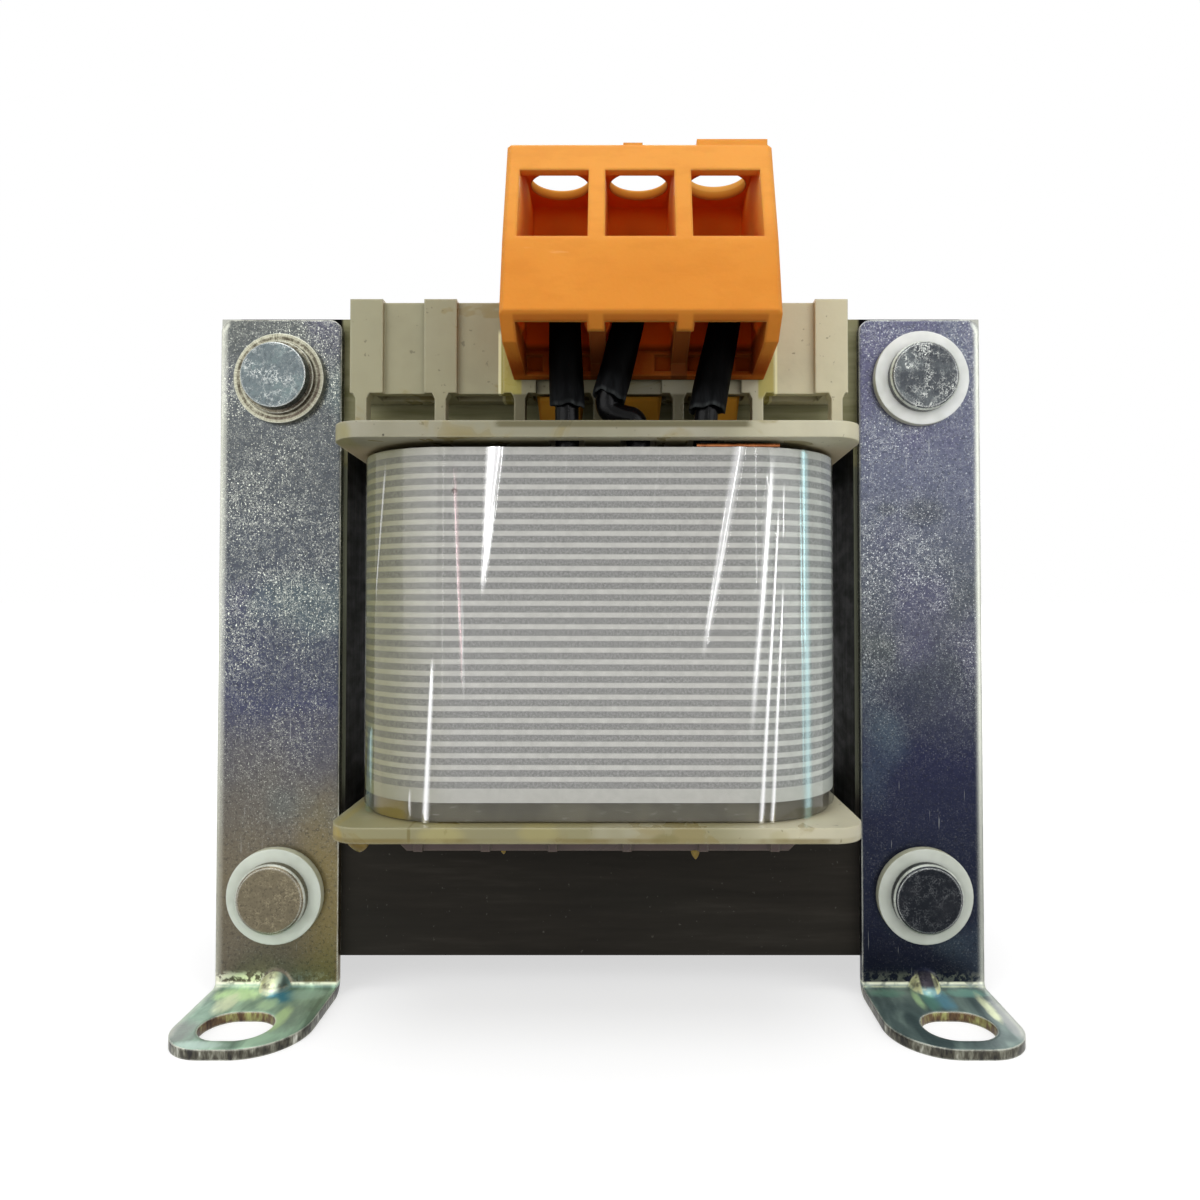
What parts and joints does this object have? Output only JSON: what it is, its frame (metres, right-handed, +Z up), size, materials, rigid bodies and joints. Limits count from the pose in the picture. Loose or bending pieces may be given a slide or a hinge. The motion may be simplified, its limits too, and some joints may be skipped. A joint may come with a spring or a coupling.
{
  "type": "control transformer",
  "caption": "Open-frame control transformer: laminated core on slotted strip feet, wrapped coil on a bobbin, orange screw terminal blocks.",
  "frame": {"origin": "centre of the footprint, on the underside of the feet", "axes": "+Z up, -Y towards the front terminal block, +X to the right seen from the front"},
  "size_m": [0.084, 0.07, 0.0879],
  "materials": {
    "core_steel": "dark varnished sheet edges",
    "bobbin_plastic": "beige moulding with thin amber varnish",
    "enamelled_copper": "enamelled copper wire",
    "insulation_paper": "plain",
    "striped_wrap": "light film with grey level stripes",
    "clear_film": "glossy clear film",
    "zinc_plate": "bluish iridescent zinc plating",
    "rivet_steel": "bright plated steel",
    "insulating_tube": "plain",
    "nylon": "translucent off-white",
    "washer_steel": "plated steel",
    "terminal_plastic": "orange, satin",
    "clamp_brass": "nickel on brass",
    "screw_steel": "plated steel",
    "tinned_tag": "tinned",
    "lead_wire": "black varnished wire",
    "lead_sleeve": "black sleeve"
  },
  "bodies": {
    "root": {"e_laminations": "core_steel", "i_laminations": "core_steel", "bobbin": "bobbin_plastic", "primary_winding": "enamelled_copper", "winding_insulation": "insulation_paper", "secondary_winding": "enamelled_copper", "striped_wrap": "striped_wrap", "clear_film": "clear_film", "bracket_front_left": "zinc_plate", "bracket_front_right": "zinc_plate", "bracket_rear_left": "zinc_plate", "bracket_rear_right": "zinc_plate", "rivet_top_left": "rivet_steel", "rivet_top_right": "rivet_steel", "rivet_bottom_left": "rivet_steel", "rivet_bottom_right": "rivet_steel", "rivet_sleeves": "insulating_tube", "nylon_washers": "nylon", "earth_washers": "washer_steel", "small_washer": "washer_steel", "winding_tail": "enamelled_copper", "front_terminal_housing": "terminal_plastic", "front_clamp_cages": "clamp_brass", "front_clamp_screws": "screw_steel", "front_solder_tags": "tinned_tag", "front_lead_wires": "lead_wire", "front_lead_sleeves": "lead_sleeve", "rear_terminal_housing": "terminal_plastic", "rear_clamp_cages": "clamp_brass", "rear_clamp_screws": "screw_steel", "rear_solder_tags": "tinned_tag", "rear_lead_wires": "lead_wire", "rear_lead_sleeves": "lead_sleeve"}
  },
  "joints": []
}
